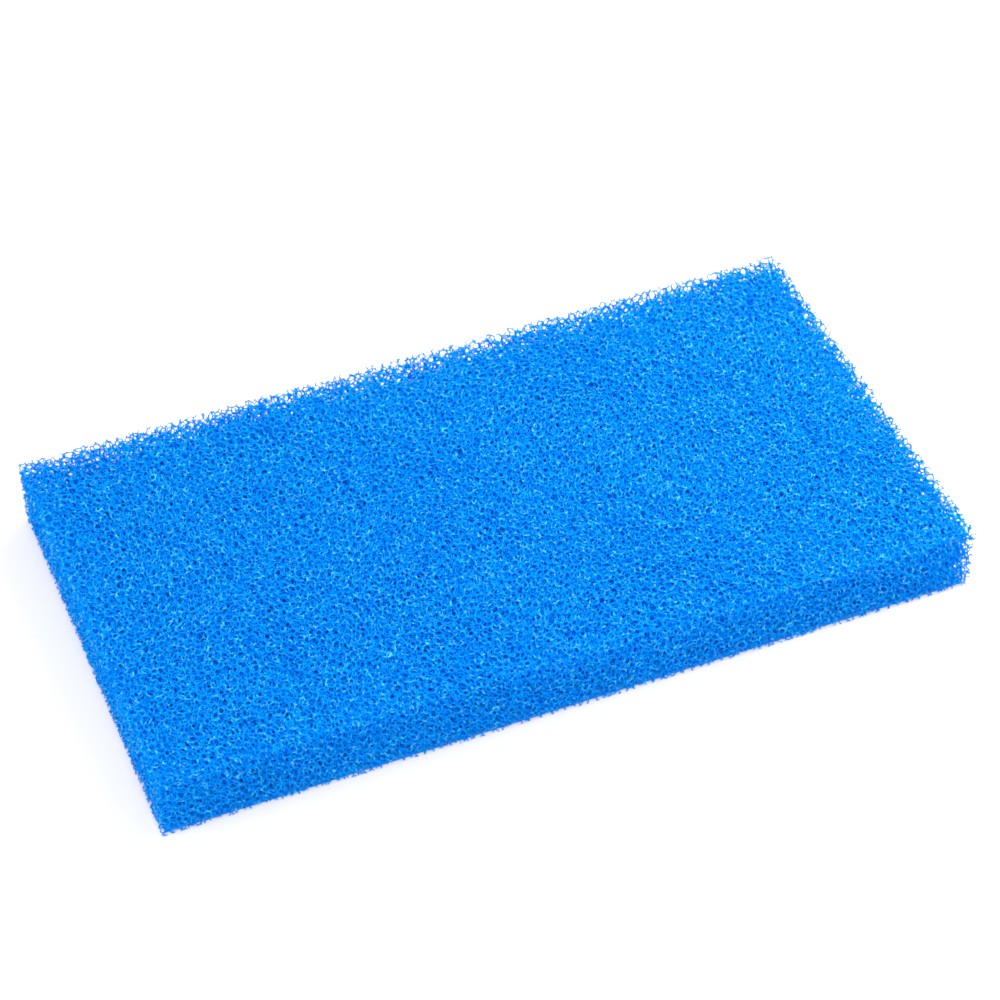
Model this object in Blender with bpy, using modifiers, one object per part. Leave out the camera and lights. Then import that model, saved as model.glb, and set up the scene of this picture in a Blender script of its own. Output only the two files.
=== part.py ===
"""Flat sponge filter pad: one slab of coarse open-cell foam for an aquarium or pond filter chamber.

Frame: +X runs along the length, +Y across the width and +Z through the thickness. The origin is the
middle of the underside, the face that lies on the chamber's grid or tray.
"""

import bpy

# Driving dimensions, in metres. The slab is cut from foam sheet, so its thickness is a sheet thickness.
LENGTH = 0.280
WIDTH = 0.150
THICKNESS = 0.025

# The cut arrises are worn back by a fraction of one foam cell.
ARRIS_RADIUS = 0.0008
ARRIS_SEGMENTS = 2

FOAM_BLUE = (0.004, 0.240, 0.840, 1.0)
FOAM_ROUGHNESS = 0.55
FOAM_METALLIC = 0.0


def clear_scene():
    """Remove every object that is already in the scene."""
    for item in list(bpy.data.objects):
        bpy.data.objects.remove(item, do_unlink=True)


def part_collection():
    """The collection that holds the part's pieces."""
    collection = bpy.data.collections.new("sponge_filter_pad")
    bpy.context.scene.collection.children.link(collection)
    return collection


def foam_material():
    """Blue polyurethane filter foam, dyed through and matt."""
    material = bpy.data.materials.new("blue_filter_foam")
    material.use_nodes = True
    shader = material.node_tree.nodes["Principled BSDF"]
    shader.inputs["Base Color"].default_value = FOAM_BLUE
    shader.inputs["Roughness"].default_value = FOAM_ROUGHNESS
    shader.inputs["Metallic"].default_value = FOAM_METALLIC
    material.diffuse_color = FOAM_BLUE
    return material


def foam_pad(collection):
    """The slab itself: a plain block with worn arrises, standing on its underside."""
    bpy.ops.mesh.primitive_cube_add(size=1.0, location=(0.0, 0.0, THICKNESS / 2))
    pad = bpy.context.active_object
    pad.name = "foam_pad"
    pad.data.name = "foam_pad"
    pad.scale = (LENGTH, WIDTH, THICKNESS)
    bpy.ops.object.transform_apply(location=False, rotation=False, scale=True)

    arrises = pad.modifiers.new("worn_arrises", "BEVEL")
    arrises.width = ARRIS_RADIUS
    arrises.segments = ARRIS_SEGMENTS
    arrises.limit_method = "ANGLE"

    pad.data.materials.append(foam_material())
    for owner in list(pad.users_collection):
        owner.objects.unlink(pad)
    collection.objects.link(pad)
    return pad


def main():
    clear_scene()
    foam_pad(part_collection())


if __name__ == "__main__":
    main()
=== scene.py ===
"""Looks of the sponge filter pad: a slab of open filter foam, built strand by strand.

Coarse filter foam is all strands and no walls. Each cell is a many-sided bubble whose edges are strands,
and the strands of all the cells make one open network. The script spreads out the cells of one block at
random, finds the corners where four cells meet and the strands where three meet, repeats the block through
the slab in a turned and bent frame, and cuts the network off at the faces of the CAD slab.
"""

import itertools
import math

import bpy
import numpy as np
from mathutils import Euler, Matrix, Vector

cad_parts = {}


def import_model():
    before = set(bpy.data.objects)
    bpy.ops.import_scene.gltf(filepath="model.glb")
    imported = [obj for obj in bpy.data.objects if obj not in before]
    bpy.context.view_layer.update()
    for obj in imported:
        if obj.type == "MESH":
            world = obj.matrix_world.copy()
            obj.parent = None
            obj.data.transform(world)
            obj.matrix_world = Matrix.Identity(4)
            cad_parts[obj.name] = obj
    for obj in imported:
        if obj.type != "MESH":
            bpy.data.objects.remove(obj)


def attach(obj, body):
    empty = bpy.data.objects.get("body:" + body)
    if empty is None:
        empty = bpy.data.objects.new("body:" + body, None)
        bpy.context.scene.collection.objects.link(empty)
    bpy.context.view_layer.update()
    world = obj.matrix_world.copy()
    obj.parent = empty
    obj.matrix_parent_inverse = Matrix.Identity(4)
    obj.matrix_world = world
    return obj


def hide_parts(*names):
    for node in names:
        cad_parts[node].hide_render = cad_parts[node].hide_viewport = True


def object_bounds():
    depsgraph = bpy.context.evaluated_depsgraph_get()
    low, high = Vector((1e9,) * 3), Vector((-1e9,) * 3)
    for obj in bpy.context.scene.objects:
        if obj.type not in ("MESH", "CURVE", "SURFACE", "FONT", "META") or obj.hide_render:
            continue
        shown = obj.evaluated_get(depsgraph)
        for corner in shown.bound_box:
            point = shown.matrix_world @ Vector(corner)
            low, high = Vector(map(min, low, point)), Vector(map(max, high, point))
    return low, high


SEED = 20

# Foam, in metres. CELL is the side of a cube as large as one cell.
CELL = 0.00254
STRAND_RADIUS = 0.127 * CELL
STRAND_SPREAD = 0.20
CELL_SIZE_SPREAD = 0.26
JITTER = 0.08 * CELL
SHORTEST_STUB = 0.04
STUB_TRIM = (0.80, 1.0)
TILES = (10, 3)

# Slow waves that bend the rows of cells: each length in metres, with how steep its waves are.
WARP_WAVES = ((0.042, 0.09), (0.067, 0.09), (0.031, 0.07), (0.095, 0.08))
WAVES_OF_EACH = 3

# One block of cells, in cells. It repeats without a seam in all three directions.
BLOCK = 7
BLOCK_TURN = (0.62, 0.36, 0.47)
SPREADING_STEPS = 3
PROBES = 24000
PROBE_BATCHES = 8
NEIGHBOURS = 60
CLOSE_NEIGHBOURS = 36
WIDEST_GAP = 1.5
TOUCHING = 1e-9
MARGIN = 2.5

# Camera, from the slab's own axes: degrees round it and above it, and metres.
CAMERA_AZIMUTH = -22.41
CAMERA_ELEVATION = 45.11
CAMERA_DISTANCE = 1.0191
CAMERA_TARGET = (0.0067, 0.0091, 0.0125)
CAMERA_LENS = 109.7
CAMERA_SENSOR = 36.0

# Foam material. A noise is its features per metre and its detail. The dye is a colour for each level of the
# strands' noise with a share of the patches' noise in it; its palest, cyan stop is partly dye and partly
# painted highlight.
# Gloss is two levels of the strands' noise, then the shader's value at each.
PATCH_NOISE = (130.0, 2.0)
STRAND_NOISE = (700.0, 3.0)
SKIN_NOISE = (9000.0, 2.0)
PATCH_SHARE = 0.15
DYE_AND_PAINTED_HIGHLIGHT = (
    (0.36, (0.0002, 0.166, 0.95, 1)),
    (0.53, (0.0003, 0.210, 0.97, 1)),
    (0.68, (0.0050, 0.47, 0.985, 1)),
)
GLOSS_ROUGHNESS = (0.56, 0.66, 0.50, 0.22)
GLOSS_SPECULAR = (0.56, 0.66, 0.00, 0.80)
GLOSS_TINT = (0.40, 0.95, 1.00, 1)
SKIN_DEPTH = 0.00004
SKIN_STRENGTH = 0.35
# The plain blue also colours the floor's sheet of painted shade under the slab.
PLAIN_BLUE = (0.004, 0.24, 0.84)
PLAIN_ROUGHNESS = 0.5

# Studio. The floor lies just under the slab, in a tent of light that is brightest overhead. Under the slab
# lies a blue sheet of painted shade, which starts a little inside the slab's outline.
FLOOR_REACH = 4.0
FLOOR_LEVEL = -0.0001
FLOOR_COLOUR = (0.95, 0.95, 0.95)
FLOOR_ROUGHNESS = 0.9
SHADE_INSET = 0.0014
TENT_AT_HORIZON = 0.28
TENT_OVERHEAD = 0.63

# Softboxes: name, azimuth and elevation in degrees, distance and side in metres, and watts.
SOFTBOXES = (
    ("key", 85, 55, 0.36, 0.3, 1.30),
    ("fill", -18, 53, 1.10, 0.3, 6.2),
    ("rim", 135, 25, 0.70, 0.4, 2.8),
    ("left", -100, 20, 0.70, 0.4, 1.6),
)

# Picture. Light has to bounce many times to get out of the foam, and the gamma opens up its shadows.
LIGHT_BOUNCES = 24
PIXEL_FILTER = 1.8
VIEW_GAMMA = 1.4

# The three cells round the strand that leaves a corner away from its cell 0, 1, 2 or 3.
OTHERS = np.array([[1, 2, 3], [0, 2, 3], [0, 1, 3], [0, 1, 2]])


def spread_cells(rng):
    """Centres of the cells of one block, in cells: random, then pushed apart until they are about even."""
    count = BLOCK**3
    cells = rng.uniform(0, BLOCK, (count, 3))
    for _ in range(SPREADING_STEPS):
        moved = np.zeros((count, 3))
        owned = np.zeros(count)
        for probes in np.split(rng.uniform(0, BLOCK, (PROBES, 3)), PROBE_BATCHES):
            away = (probes[:, None] - cells + BLOCK / 2) % BLOCK - BLOCK / 2
            owner = (away**2).sum(2).argmin(1)
            np.add.at(moved, owner, away[np.arange(len(probes)), owner])
            np.add.at(owned, owner, 1)
        cells = (cells + moved / np.maximum(owned, 1)[:, None]) % BLOCK
    return cells


def meeting_cells(cells):
    """Every four cells of the block that meet at a corner, each with the block that it is in.

    Four cells meet where a ball can touch all four centres and hold no other centre."""
    triples = np.array(list(itertools.combinations(range(CLOSE_NEIGHBOURS), 3)))
    groups, blocks = [], []
    for first in range(len(cells)):
        away = (cells - cells[first] + BLOCK / 2) % BLOCK - BLOCK / 2
        near = (away**2).sum(1).argsort()[1 : NEIGHBOURS + 1]
        away = away[near]
        later = np.flatnonzero(near[:CLOSE_NEIGHBOURS] > first)
        three = later[triples[triples.max(1) < len(later)]]
        if not len(three):
            continue
        corners = away[three]
        ball = np.linalg.solve(corners, (corners**2).sum(2, keepdims=True) / 2)[..., 0]
        size = (ball**2).sum(1)
        small = size < WIDEST_GAP**2
        three, ball, size = three[small], ball[small], size[small]
        room = ((ball[:, None] - away) ** 2).sum(2) - size[:, None]
        three = three[(room > -TOUCHING).all(1)]
        members = np.concatenate([np.full((len(three), 1), first), near[three]], 1)
        centres = np.concatenate([np.zeros((len(three), 1, 3)), away[three]], 1) + cells[first]
        groups.append(members)
        blocks.append(np.rint((centres - cells[members]) / BLOCK).astype(int))
    return np.concatenate(groups), np.concatenate(blocks)


def drift(points, rng):
    """A slow drift of the cells, so that rows bend and cells are larger here and smaller there."""
    moved = np.zeros_like(points)
    for length, slope in WARP_WAVES:
        for _ in range(WAVES_OF_EACH):
            heading = rng.normal(size=3)
            heading /= np.linalg.norm(heading)
            swing = rng.normal(size=3)
            swing *= slope * length / (2 * math.pi) / np.linalg.norm(swing)
            phase = rng.uniform(0, 2 * math.pi)
            moved += np.sin(points @ heading * 2 * math.pi / length + phase)[:, None] * swing
    return moved


def fill_with_cells(lo, hi, rng):
    """Cell centres for a box and a little round it, and the groups of four cells that meet at a corner."""
    seeds = spread_cells(rng)
    members, blocks = meeting_cells(seeds)
    turn = np.array(Euler(BLOCK_TURN).to_matrix())
    side = BLOCK * CELL
    margin = MARGIN * CELL
    centre = (lo + hi) / 2
    reach = math.ceil((np.linalg.norm(hi - lo) / 2 + margin) / side) + 1
    axis = np.arange(-reach, reach + 1)
    steps = np.stack(np.meshgrid(axis, axis, axis, indexing="ij"), -1).reshape(-1, 3)
    middles = centre + (steps + 0.5) * side @ turn.T
    round_box = margin + side * math.sqrt(3) / 2
    steps = steps[((middles > lo - round_box) & (middles < hi + round_box)).all(1)]

    # Every cell gets one number, from its block's place along each axis and its own place in the block.
    span = 2 * reach + 4
    where = steps[:, None, None] + blocks + reach + 1
    number = ((where[..., 0] * span + where[..., 1]) * span + where[..., 2]) * len(seeds) + members
    used, groups = np.unique(number.reshape(-1, 4), return_inverse=True)
    groups = groups.reshape(-1, 4)
    block, seed = used // len(seeds), used % len(seeds)
    block = np.stack([block // span**2, block // span % span, block % span], 1) - reach - 1
    cells = centre + (block * BLOCK + seeds[seed]) * CELL @ turn.T

    # Corners well outside the box are left out, and the cells that only they use.
    middle = cells[groups].mean(1)
    near = ((middle > lo - margin) & (middle < hi + margin)).all(1)
    used, groups = np.unique(groups[near], return_inverse=True)
    return cells[used], np.sort(groups.reshape(-1, 4), 1)


def find_strands(groups):
    """Pairs of corners that share three cells, as (corner, side of it, corner, side of it).

    Side n of a corner is the one away from its cell n."""
    count = groups.max() + 1
    keys = np.empty(groups.shape, np.int64)
    for away in range(4):
        a, b, c = (groups[:, i].astype(np.int64) for i in OTHERS[away])
        keys[:, away] = (a * count + b) * count + c
    order = np.argsort(keys.ravel(), kind="stable")
    ordered = keys.ravel()[order]
    same = np.flatnonzero(ordered[1:] == ordered[:-1])
    first, second = order[same], order[same + 1]
    return first // 4, first % 4, second // 4, second % 4


def held_together(count, first, second):
    """True for every corner in the largest part of the network that hangs together."""
    label = np.arange(count)
    while True:
        lower = np.minimum(label[first], label[second])
        new = label.copy()
        np.minimum.at(new, label[first], lower)
        np.minimum.at(new, label[second], lower)
        new = new[new]
        if (new == label).all():
            break
        label = new
    return label == np.bincount(label).argmax()


def shape_corners(cells, groups, rng):
    """Every corner's place, and its four points, one on the side of each of its cells."""
    cells = cells + drift(cells, rng) + rng.normal(0.0, JITTER, cells.shape)
    weight = np.exp(rng.normal(0.0, CELL_SIZE_SPREAD, len(cells)))[groups]
    centres = cells[groups]
    corners = (centres * weight[..., None]).sum(1) / weight.sum(1)[:, None]
    radius = STRAND_RADIUS * np.exp(rng.normal(0.0, STRAND_SPREAD, len(corners)))
    towards = centres - corners[:, None]
    towards /= np.linalg.norm(towards, axis=2)[..., None]
    return corners, corners[:, None] + towards * radius[:, None, None]


def strands_in_box(corners, groups, lo, hi):
    """The strands that start inside the box, as find_strands gives them, and which corners are inside it."""
    inside = ((corners > lo) & (corners < hi)).all(1)
    first, side1, second, side2 = find_strands(groups)
    both = inside[first] & inside[second]
    inside &= held_together(len(corners), first[both], second[both])
    swap = ~inside[first] & inside[second]
    first, second = np.where(swap, second, first), np.where(swap, first, second)
    side1, side2 = np.where(swap, side2, side1), np.where(swap, side1, side2)
    touched = inside[first]
    return first[touched], side1[touched], second[touched], side2[touched], inside


def end_points(even, first, side1, second, side2):
    """Numbers of the three points at each end of every strand, anticlockwise as seen from the second end.

    Which way round they run is read from the even places of each corner's four cells, before they drift."""
    around = OTHERS[side1]
    end1 = first[:, None] * 4 + around
    end2 = second[:, None] * 4 + OTHERS[side2]
    a, b, c = (even[first, around[:, i]] for i in range(3))
    clockwise = (np.cross(b - a, c - a) * (even[first, side1] - a)).sum(1) > 0
    end1[clockwise] = end1[clockwise][:, ::-1]
    end2[clockwise] = end2[clockwise][:, ::-1]
    return end1, end2


def cut_tips(start, stop, lo, hi, rng):
    """Tips of strands that leave the box, at its face or a little short of it, and which are long enough."""
    run = stop - start
    with np.errstate(divide="ignore", invalid="ignore"):
        gone = np.where(run > 0, (hi - start) / run, np.where(run < 0, (lo - start) / run, np.inf))
    leave = np.clip(gone.min(2), 0, 1)
    trim = rng.uniform(*STUB_TRIM, len(start))[:, None]
    return start + run * (leave * trim)[..., None], leave.min(1) > SHORTEST_STUB


def tube_sides(first, second):
    """The three quads between each pair of end triangles."""
    pairs = ((0, 1), (1, 2), (2, 0))
    walls = [np.stack([first[:, i], first[:, j], second[:, j], second[:, i]], 1) for i, j in pairs]
    return np.stack(walls, 1).reshape(-1, 4)


def build_network(lo, hi, rng):
    """The strands of a box of foam: points, and quads and triangles with the tile that each belongs to."""
    cells, groups = fill_with_cells(lo, hi, rng)
    corners, points = shape_corners(cells, groups, rng)
    first, side1, second, side2, inside = strands_in_box(corners, groups, lo, hi)
    points[inside] = np.clip(points[inside], lo, hi)
    points = points.reshape(-1, 3)
    end1, end2 = end_points(cells[groups], first, side1, second, side2)
    whole = inside[second]

    cut = np.flatnonzero(~whole)
    tips, long_enough = cut_tips(points[end1[cut]], points[end2[cut]], lo, hi, rng)
    stub, none = cut[long_enough], cut[~long_enough]
    tip_ids = len(points) + np.arange(3 * len(stub)).reshape(-1, 3)
    points = np.concatenate([points, tips[long_enough].reshape(-1, 3)])

    # Tiles, by where a strand starts and ends.
    grid = np.array(TILES)
    where = ((corners[:, :2] - lo[:2]) / (hi - lo)[:2] * grid).astype(int).clip(0, grid - 1)
    tile = where[:, 0] * TILES[1] + where[:, 1]
    starts, ends = tile[first], tile[second]

    tubes = np.flatnonzero(whole)
    quads = np.concatenate([tube_sides(end1[tubes], end2[tubes]), tube_sides(end1[stub], tip_ids)])
    quad_tile = np.repeat(np.concatenate([starts[tubes], starts[stub]]), 3)

    # Caps: cut ends, sides of a corner that carry no strand, and both sides of a join between two tiles.
    join = tubes[starts[tubes] != ends[tubes]]
    caps = np.concatenate([tip_ids, end1[none], end2[join], end2[join][:, ::-1]])
    cap_tile = np.concatenate([starts[stub], starts[none], starts[join], ends[join]])
    return points, quads, quad_tile, caps, cap_tile


def add_flat_map(mesh, points, index):
    """A map of the tile as seen from above, so that an export keeps the strands' shared points."""
    low, high = points.min(0), points.max(0)
    flat = (points - low)[:, :2] / (high - low)[:2]
    mesh.uv_layers.new(name="OFBake").data.foreach_set("uv", flat[index].astype(np.float32).ravel())


def mesh_of(name, network, quads, caps):
    """A closed mesh from some quads and triangles of the network's points."""
    used, index = np.unique(np.concatenate([quads.ravel(), caps.ravel()]), return_inverse=True)
    points = network[used]
    mesh = bpy.data.meshes.new(name)
    mesh.vertices.add(len(used))
    mesh.vertices.foreach_set("co", points.astype(np.float32).ravel())
    mesh.loops.add(len(index))
    mesh.loops.foreach_set("vertex_index", index.astype(np.int32).ravel())
    starts = np.concatenate([np.arange(len(quads)) * 4, 4 * len(quads) + np.arange(len(caps)) * 3])
    mesh.polygons.add(len(starts))
    mesh.polygons.foreach_set("loop_start", starts.astype(np.int32))
    mesh.polygons.foreach_set("use_smooth", np.ones(len(starts), bool))
    add_flat_map(mesh, points, index)
    mesh.update(calc_edges=True)
    return mesh


def foam_material():
    """Blue polyurethane foam: dyed unevenly from strand to strand, dull, with a few glossy strands. The
    palest, cyan strands are partly painted highlight.
    """
    material = bpy.data.materials.new("blue_filter_foam")
    material.use_nodes = True
    nodes, links = material.node_tree.nodes, material.node_tree.links
    shader = nodes["Principled BSDF"]
    place = nodes.new("ShaderNodeTexCoord")

    def noise(scale, detail):
        texture = nodes.new("ShaderNodeTexNoise")
        texture.inputs["Scale"].default_value = scale
        texture.inputs["Detail"].default_value = detail
        links.new(place.outputs["Object"], texture.inputs["Vector"])
        return texture.outputs["Fac"]

    def ramp(value, *stops):
        colours = nodes.new("ShaderNodeValToRGB")
        for position, _ in stops[2:]:
            colours.color_ramp.elements.new(position)
        for element, (position, colour) in zip(colours.color_ramp.elements, stops):
            element.position = position
            element.color = colour
        links.new(value, colours.inputs["Fac"])
        return colours.outputs["Color"]

    def level(value, low, high, start, end):
        spread = nodes.new("ShaderNodeMapRange")
        for name, number in zip(("From Min", "From Max", "To Min", "To Max"), (low, high, start, end)):
            spread.inputs[name].default_value = number
        links.new(value, spread.inputs["Value"])
        return spread.outputs["Result"]

    # Dye: patches a few cells wide, and strands that differ from the next. The palest, cyan stop is partly
    # painted highlight.
    patches = noise(*PATCH_NOISE)
    strands = noise(*STRAND_NOISE)
    both = nodes.new("ShaderNodeMix")
    both.inputs["Factor"].default_value = PATCH_SHARE
    links.new(strands, both.inputs["A"])
    links.new(patches, both.inputs["B"])
    links.new(ramp(both.outputs["Result"], *DYE_AND_PAINTED_HIGHLIGHT), shader.inputs["Base Color"])

    # Gloss: most strands are dull, and the palest are smooth enough to glint.
    shader.inputs["Specular Tint"].default_value = GLOSS_TINT
    links.new(level(strands, *GLOSS_ROUGHNESS), shader.inputs["Roughness"])
    links.new(level(strands, *GLOSS_SPECULAR), shader.inputs["Specular IOR Level"])

    # Skin of a strand: fine unevenness, well below the strand's own width.
    bump = nodes.new("ShaderNodeBump")
    bump.inputs["Strength"].default_value = SKIN_STRENGTH
    bump.inputs["Distance"].default_value = SKIN_DEPTH
    links.new(noise(*SKIN_NOISE), bump.inputs["Height"])
    links.new(bump.outputs["Normal"], shader.inputs["Normal"])
    return material


def plain_material(name, colour, roughness):
    """One colour all over: the floor, the blue sheet of painted shade under the slab, and the foam wherever
    its full material can't be shown.
    """
    material = bpy.data.materials.new(name)
    material.use_nodes = True
    shader = material.node_tree.nodes["Principled BSDF"]
    shader.inputs["Base Color"].default_value = (*colour, 1)
    shader.inputs["Roughness"].default_value = roughness
    return material


def direction(azimuth, elevation):
    """Unit vector from the slab towards a viewer. Azimuth 0 stands in front, at -Y, and 90 at +X."""
    a, e = math.radians(azimuth), math.radians(elevation)
    return Vector((math.sin(a) * math.cos(e), -math.cos(a) * math.cos(e), math.sin(e)))


def aim(item, azimuth, elevation, distance, target):
    """Places a lamp or camera that many metres from the target, looking at it."""
    away = direction(azimuth, elevation)
    item.location = target + away * distance
    item.rotation_euler = (-away).to_track_quat("-Z", "Y").to_euler()
    bpy.context.scene.collection.objects.link(item)


def add_camera():
    """The camera, with no shift and no depth of field."""
    camera = bpy.data.cameras.new("camera")
    camera.lens = CAMERA_LENS
    camera.sensor_width = CAMERA_SENSOR
    item = bpy.data.objects.new("camera", camera)
    aim(item, CAMERA_AZIMUTH, CAMERA_ELEVATION, CAMERA_DISTANCE, Vector(CAMERA_TARGET))
    bpy.context.scene.camera = item


def add_sheet(name, half_length, half_width, level, material):
    """A flat rectangle of the stage, centred on the slab."""
    corners = ((-1, -1), (1, -1), (1, 1), (-1, 1))
    mesh = bpy.data.meshes.new(name)
    outline = [(x * half_length, y * half_width, level) for x, y in corners]
    mesh.from_pydata(outline, [], [(0, 1, 2, 3)])
    mesh.materials.append(material)
    sheet = bpy.data.objects.new(name, mesh)
    bpy.context.scene.collection.objects.link(sheet)


def add_floor(lo, hi):
    """A plain pale floor, and on it, under the slab, a blue sheet of painted shade in place of the foam's
    blue shade.
    """
    pale = plain_material("pale_floor", FLOOR_COLOUR, FLOOR_ROUGHNESS)
    add_sheet("floor", FLOOR_REACH, FLOOR_REACH, FLOOR_LEVEL, pale)
    # Painted shade: a plain blue sheet, a little inside the slab's outline, where the floor lies in the
    # foam's shade.
    shaded = plain_material("shaded_floor", PLAIN_BLUE, FLOOR_ROUGHNESS)
    half_length, half_width = (hi - lo)[:2] / 2 - SHADE_INSET
    add_sheet("floor_shade", half_length, half_width, FLOOR_LEVEL / 2, shaded)


def add_tent():
    """White light from the whole sky, stronger the higher it comes from."""
    world = bpy.data.worlds.new("studio")
    world.use_nodes = True
    nodes, links = world.node_tree.nodes, world.node_tree.links
    heading = nodes.new("ShaderNodeTexCoord")
    height = nodes.new("ShaderNodeSeparateXYZ")
    strength = nodes.new("ShaderNodeMapRange")
    strength.inputs["To Min"].default_value = TENT_AT_HORIZON
    strength.inputs["To Max"].default_value = TENT_OVERHEAD
    background = nodes["Background"]
    background.inputs["Color"].default_value = (1, 1, 1, 1)
    links.new(heading.outputs["Generated"], height.inputs["Vector"])
    links.new(height.outputs["Z"], strength.inputs["Value"])
    links.new(strength.outputs["Result"], background.inputs["Strength"])
    bpy.context.scene.world = world


def add_softboxes():
    """Square white lamps, all aimed at the middle of the picture."""
    for name, azimuth, elevation, distance, size, power in SOFTBOXES:
        light = bpy.data.lights.new(name, "AREA")
        light.size = size
        light.energy = power
        aim(bpy.data.objects.new(name, light), azimuth, elevation, distance, Vector(CAMERA_TARGET))


def set_picture():
    """How light gathers in the foam, and how the picture shows it."""
    scene = bpy.context.scene
    scene.view_settings.view_transform = "Standard"
    scene.view_settings.gamma = VIEW_GAMMA
    scene.cycles.filter_width = PIXEL_FILTER
    scene.cycles.max_bounces = LIGHT_BOUNCES
    scene.cycles.diffuse_bounces = LIGHT_BOUNCES


def add_foam(lo, hi):
    """The slab's foam, as tiles side by side."""
    points, quads, quad_tile, caps, cap_tile = build_network(lo, hi, np.random.default_rng(SEED))
    material = foam_material()
    plain = plain_material("plain_filter_foam", PLAIN_BLUE, PLAIN_ROUGHNESS)
    for number in range(TILES[0] * TILES[1]):
        name = f"foam_tile_{number:02d}"
        mesh = mesh_of(name, points, quads[quad_tile == number], caps[cap_tile == number])
        mesh.materials.append(plain)
        piece = bpy.data.objects.new(name, mesh)
        piece.material_slots[0].link = "OBJECT"
        piece.material_slots[0].material = material
        bpy.context.scene.collection.objects.link(piece)
        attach(piece, "root")
        if number == 0:
            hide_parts("foam_pad")


def main():
    """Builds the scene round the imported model."""
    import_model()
    cad_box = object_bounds()
    lo, hi = (np.array(corner) for corner in cad_box)
    add_foam(lo, hi)
    add_floor(lo, hi)
    add_tent()
    add_softboxes()
    add_camera()
    set_picture()


main()
